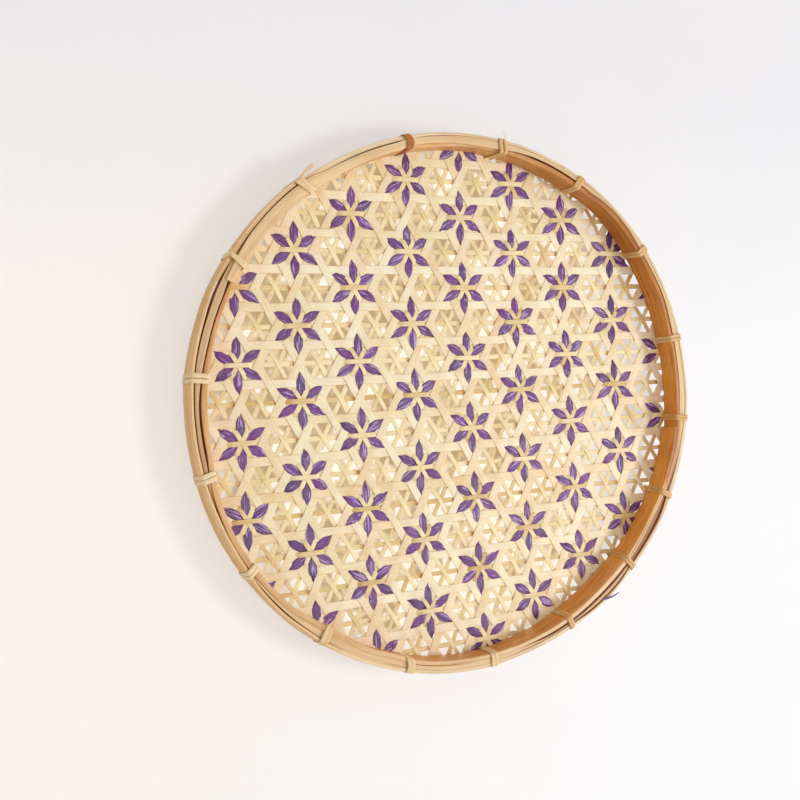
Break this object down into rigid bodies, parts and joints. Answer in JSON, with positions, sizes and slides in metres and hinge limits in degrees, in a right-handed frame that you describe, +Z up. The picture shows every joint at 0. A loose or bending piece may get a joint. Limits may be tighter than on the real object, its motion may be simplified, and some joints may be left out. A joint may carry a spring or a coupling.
{
  "type": "hanging wall basket",
  "caption": "Shallow round tray basket of split bamboo: an open star weave with purple flowers, clamped between bent hoops by cane ties, hung face-out on a wall.",
  "frame": {"origin": "on the wall, at the nail that passes through the weave and carries the inside edge of the mat's border at the top of the tray", "axes": "+Z up, +Y into the wall, the open front faces -Y, +X to the right seen from the front"},
  "size_m": [0.3608, 0.0213, 0.3419],
  "materials": {
    "hoop_bamboo": "split bamboo with its skin, satin, fine lengthwise grain",
    "inner_bamboo": "split bamboo darkened by age, satin",
    "filler_bamboo": "pale split bamboo, semi-matt",
    "edge_splint": "shaved bamboo, matt, in shade",
    "wide_splint": "shaved pale bamboo, semi-matt",
    "narrow_splint": "shaved pale bamboo, semi-matt",
    "purple_splint": "bamboo dyed purple, satin with streaks",
    "cane": "split cane binding, satin"
  },
  "bodies": {
    "root": {"outer_hoop": "hoop_bamboo", "filler_strip": "filler_bamboo", "inner_hoop": "inner_bamboo", "turned_up_splint_ends": "edge_splint", "wide_splints_level": "wide_splint", "wide_splints_rising": "wide_splint", "wide_splints_falling": "wide_splint", "narrow_splints_level": "narrow_splint", "narrow_splints_rising": "narrow_splint", "narrow_splints_falling": "narrow_splint", "purple_splints_upright": "purple_splint", "purple_splints_rising": "purple_splint", "purple_splints_falling": "purple_splint", "tie_01": "cane", "tie_02": "cane", "tie_03": "cane", "tie_04": "cane", "tie_05": "cane", "tie_06": "cane", "tie_07": "cane", "tie_08": "cane", "tie_09": "cane", "tie_10": "cane", "tie_11": "cane", "tie_12": "cane", "tie_13": "cane", "tie_14": "cane", "tie_15": "cane", "tie_16": "cane", "tie_17": "cane"}
  },
  "joints": []
}
